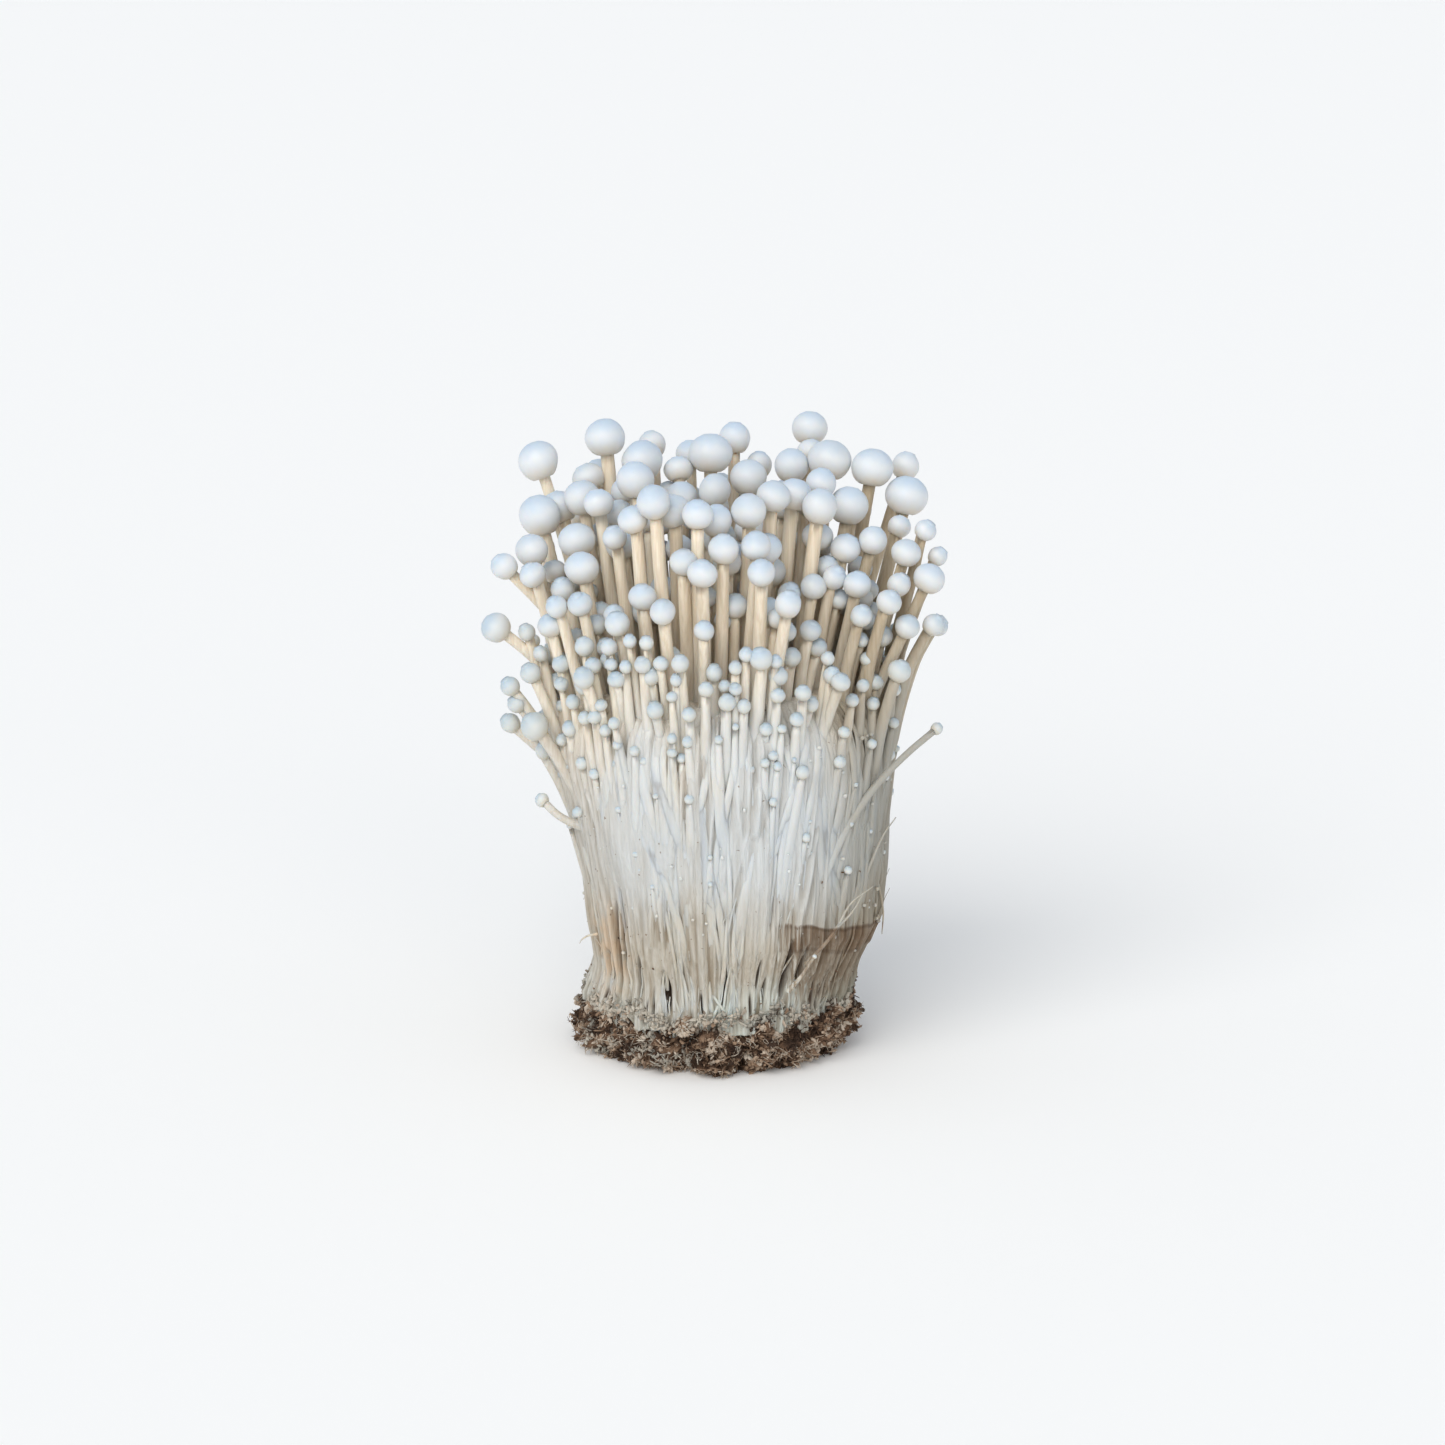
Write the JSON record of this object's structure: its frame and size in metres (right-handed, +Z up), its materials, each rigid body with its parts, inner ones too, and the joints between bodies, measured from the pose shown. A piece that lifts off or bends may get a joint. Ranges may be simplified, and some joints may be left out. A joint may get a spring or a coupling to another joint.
{
  "type": "enoki mushroom cluster",
  "caption": "Upright cluster of thin-stemmed white mushrooms with button caps, fused low down and standing on a plug of sawdust substrate.",
  "frame": {"origin": "under the middle of the whole cluster's bounding box, on the surface that the substrate block stands on", "axes": "+Z up along the stems, -Y towards the front, where the shortest mushrooms are, +X to the right of the front"},
  "size_m": [0.1116, 0.0854, 0.1544],
  "materials": {
    "substrate": "rough crumbled sawdust",
    "fused_stems": "moist fibrous stems",
    "mushroom": "smooth satin skin"
  },
  "bodies": {
    "root": {"substrate_block": "substrate", "fused_stem_base": "fused_stems", "mushroom_01": "mushroom", "mushroom_02": "mushroom", "mushroom_03": "mushroom", "mushroom_04": "mushroom", "mushroom_05": "mushroom", "mushroom_06": "mushroom", "mushroom_07": "mushroom", "mushroom_08": "mushroom", "mushroom_09": "mushroom", "mushroom_10": "mushroom", "mushroom_11": "mushroom", "mushroom_12": "mushroom", "mushroom_13": "mushroom", "mushroom_14": "mushroom", "mushroom_15": "mushroom", "mushroom_16": "mushroom", "mushroom_17": "mushroom", "mushroom_18": "mushroom", "mushroom_19": "mushroom", "mushroom_20": "mushroom", "mushroom_21": "mushroom", "mushroom_22": "mushroom", "mushroom_23": "mushroom", "mushroom_24": "mushroom", "mushroom_25": "mushroom", "mushroom_26": "mushroom", "mushroom_27": "mushroom", "mushroom_28": "mushroom", "mushroom_29": "mushroom", "mushroom_30": "mushroom", "mushroom_31": "mushroom", "mushroom_32": "mushroom", "mushroom_33": "mushroom", "mushroom_34": "mushroom", "mushroom_35": "mushroom", "mushroom_36": "mushroom", "mushroom_37": "mushroom", "mushroom_38": "mushroom", "mushroom_39": "mushroom", "mushroom_40": "mushroom", "mushroom_41": "mushroom", "mushroom_42": "mushroom", "mushroom_43": "mushroom", "mushroom_44": "mushroom", "mushroom_45": "mushroom", "mushroom_46": "mushroom", "mushroom_47": "mushroom", "mushroom_48": "mushroom", "mushroom_49": "mushroom", "mushroom_50": "mushroom", "mushroom_51": "mushroom", "mushroom_52": "mushroom", "mushroom_53": "mushroom", "mushroom_54": "mushroom", "mushroom_55": "mushroom", "mushroom_56": "mushroom", "mushroom_57": "mushroom", "mushroom_58": "mushroom"}
  },
  "joints": []
}
